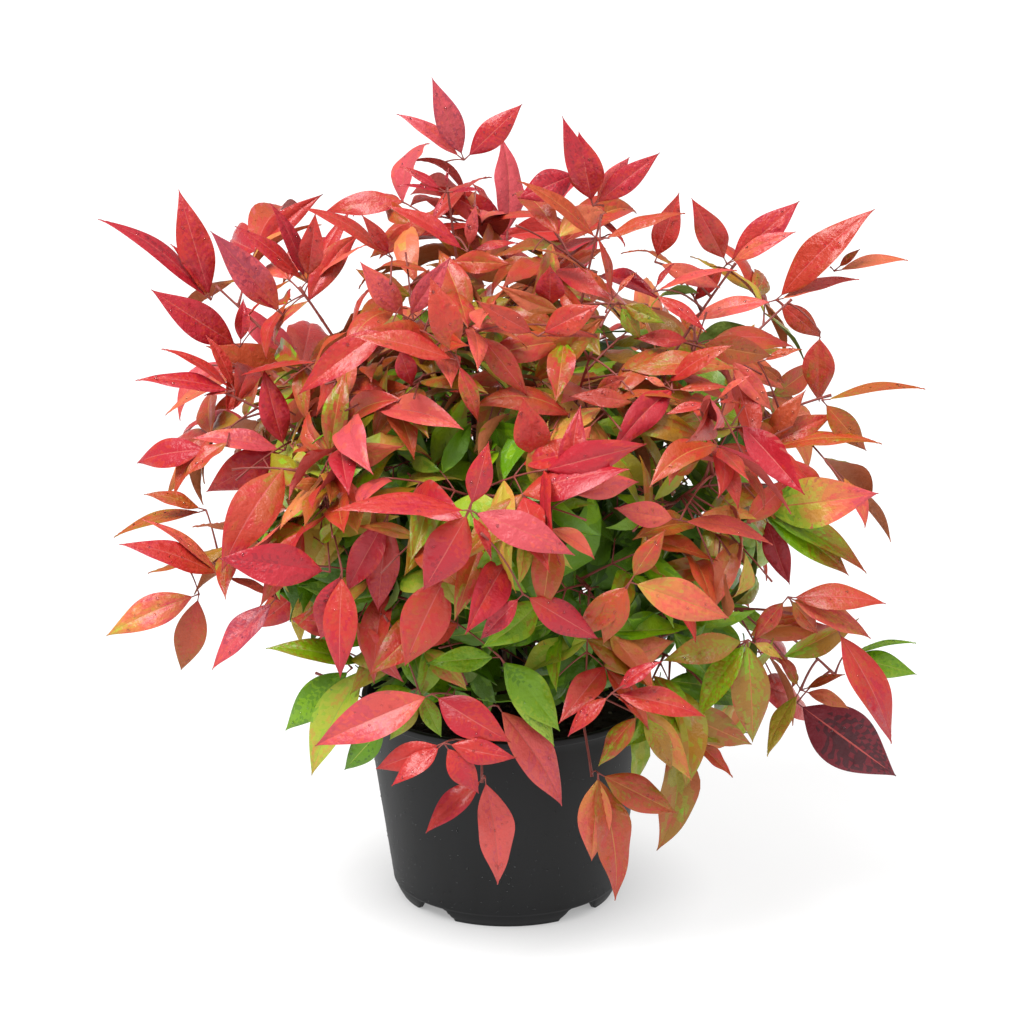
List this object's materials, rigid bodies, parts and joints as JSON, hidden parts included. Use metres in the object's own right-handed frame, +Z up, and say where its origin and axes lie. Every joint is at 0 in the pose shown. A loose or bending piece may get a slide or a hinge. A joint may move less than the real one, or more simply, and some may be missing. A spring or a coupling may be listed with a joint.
{
  "type": "potted heavenly bamboo shrub",
  "caption": "Compact multi-stemmed heavenly bamboo with arching canes and loose red compound leaves, growing in a plain black nursery pot.",
  "frame": {"origin": "on the ground under the middle of the whole plant's box; the pot's axis stands 5.5 mm to -X and 12.7 mm to -Y of it", "axes": "+Z up along the pot's axis, +X to the right of the front, -Y towards the front"},
  "size_m": [0.572, 0.4752, 0.5797],
  "materials": {
    "pot": "matte charcoal black",
    "soil": "moist dark potting mix",
    "cane_bark": "dull brown bark",
    "bough_bark": "smooth reddish brown",
    "leaf": "semi-gloss red"
  },
  "bodies": {
    "root": {"bough_apron_front": "bough_bark", "bough_apron_left": "bough_bark", "bough_apron_right": "bough_bark", "bough_hanging_front_right": "bough_bark", "bough_hanging_right": "bough_bark", "bough_high_left": "bough_bark", "bough_high_right": "bough_bark", "bough_low_back_left": "bough_bark", "bough_low_back_right": "bough_bark", "bough_low_front_left": "bough_bark", "bough_low_front_right": "bough_bark", "bough_low_left": "bough_bark", "bough_low_right": "bough_bark", "bough_middle_back": "bough_bark", "bough_middle_front": "bough_bark", "bough_middle_left": "bough_bark", "bough_middle_right": "bough_bark", "cane_middle_back_left": "cane_bark", "cane_middle_back_right": "cane_bark", "cane_middle_front_left": "cane_bark", "cane_middle_front_right": "cane_bark", "cane_top_left": "cane_bark", "cane_top_right": "cane_bark", "cane_upper_back": "cane_bark", "cane_upper_front_left": "cane_bark", "cane_upper_front_right": "cane_bark", "cane_upper_left": "cane_bark", "cane_upper_right": "cane_bark", "leaves_apron_front": "leaf", "leaves_apron_left": "leaf", "leaves_apron_right": "leaf", "leaves_hanging_front_right": "leaf", "leaves_hanging_right": "leaf", "leaves_high_left": "leaf", "leaves_high_right": "leaf", "leaves_low_back_left": "leaf", "leaves_low_back_right": "leaf", "leaves_low_front_left": "leaf", "leaves_low_front_right": "leaf", "leaves_low_left": "leaf", "leaves_low_right": "leaf", "leaves_middle_back": "leaf", "leaves_middle_back_left": "leaf", "leaves_middle_back_right": "leaf", "leaves_middle_front": "leaf", "leaves_middle_front_left": "leaf", "leaves_middle_front_right": "leaf", "leaves_middle_left": "leaf", "leaves_middle_right": "leaf", "leaves_top_left": "leaf", "leaves_top_right": "leaf", "leaves_upper_back": "leaf", "leaves_upper_front_left": "leaf", "leaves_upper_front_right": "leaf", "leaves_upper_left": "leaf", "leaves_upper_right": "leaf", "pot": "pot", "soil": "soil"}
  },
  "joints": []
}
